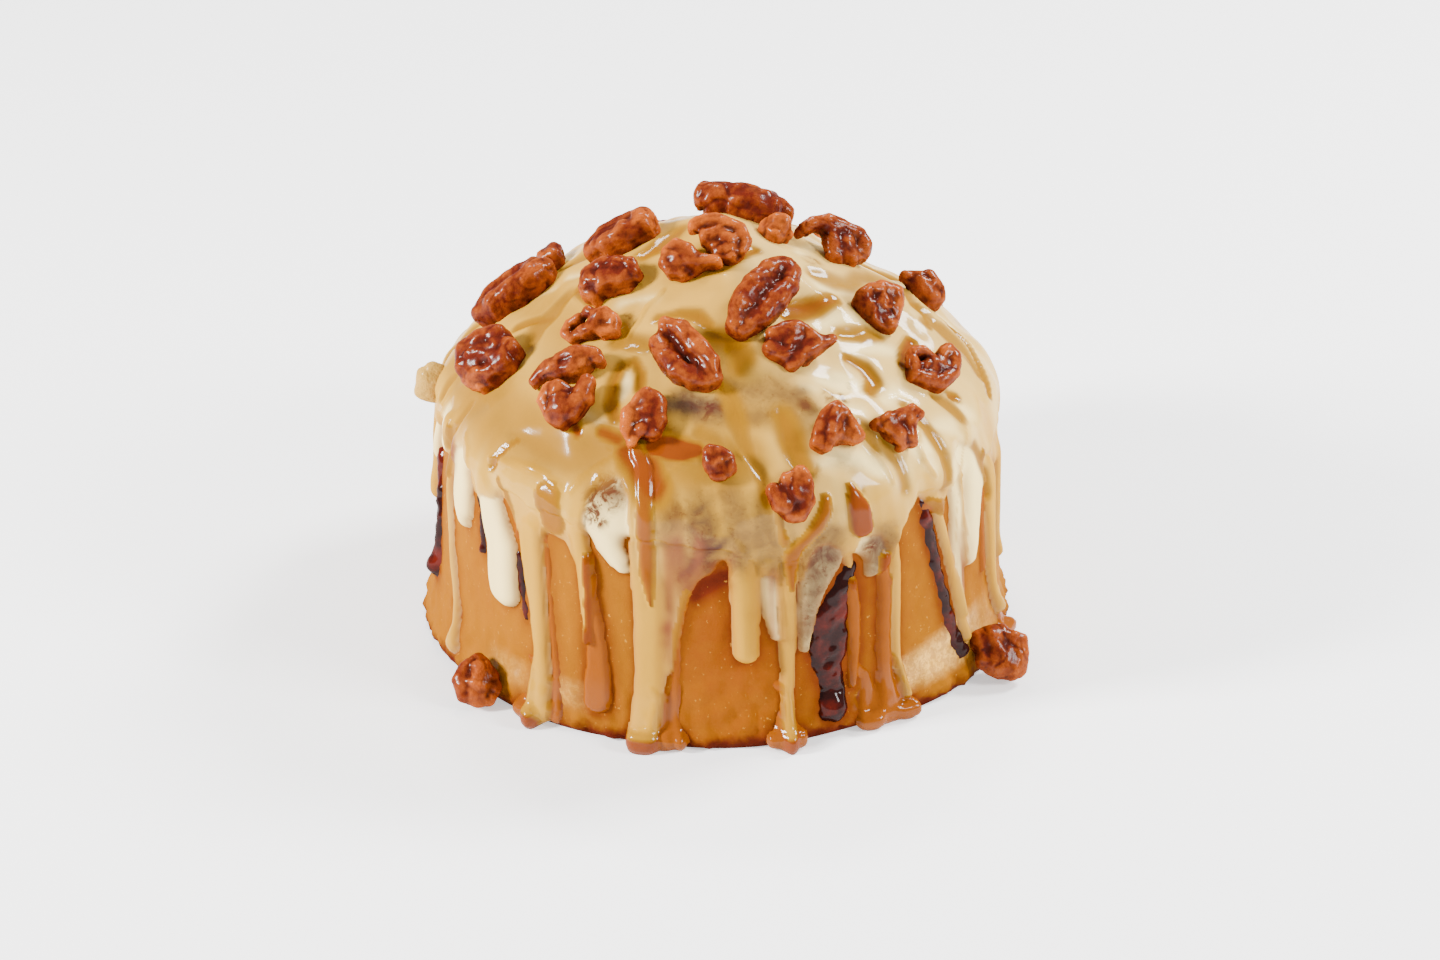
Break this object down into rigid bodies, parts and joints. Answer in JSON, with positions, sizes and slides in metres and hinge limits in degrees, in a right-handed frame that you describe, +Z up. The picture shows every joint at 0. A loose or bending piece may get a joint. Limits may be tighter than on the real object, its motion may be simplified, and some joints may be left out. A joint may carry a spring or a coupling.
{
  "type": "sticky bun",
  "caption": "Tall round sticky bun on a flat foot, under poured cream icing with hanging runs, caramel, dark syrup and candied pecans.",
  "frame": {"origin": "centre of the flat foot that the bun rests on", "axes": "+Z up through the crown; -Y is the front, the side with the white runs of icing and the dark syrup; +X is to the right of the front"},
  "size_m": [0.1279, 0.1274, 0.0927],
  "materials": {
    "bread": "baked golden brown, slightly greasy",
    "icing": "wet gloss, cream and caramel",
    "pecan": "candied gloss over wrinkled nut"
  },
  "bodies": {
    "root": {"bun": "bread", "icing": "icing", "pecan_01": "pecan", "pecan_02": "pecan", "pecan_03": "pecan", "pecan_04": "pecan", "pecan_05": "pecan", "pecan_06": "pecan", "pecan_07": "pecan", "pecan_08": "pecan", "pecan_09": "pecan", "pecan_10": "pecan", "pecan_11": "pecan", "pecan_12": "pecan", "pecan_13": "pecan", "pecan_14": "pecan", "pecan_15": "pecan", "pecan_16": "pecan", "pecan_17": "pecan", "pecan_18": "pecan", "pecan_19": "pecan", "pecan_20": "pecan", "pecan_21": "pecan", "pecan_22": "pecan", "pecan_23": "pecan", "pecan_24": "pecan", "pecan_25": "pecan", "pecan_26": "pecan", "pecan_27": "pecan", "pecan_28": "pecan", "pecan_29": "pecan", "pecan_30": "pecan", "pecan_31": "pecan", "pecan_32": "pecan", "pecan_33": "pecan", "pecan_34": "pecan", "pecan_35": "pecan", "pecan_36": "pecan", "pecan_37": "pecan"}
  },
  "joints": []
}
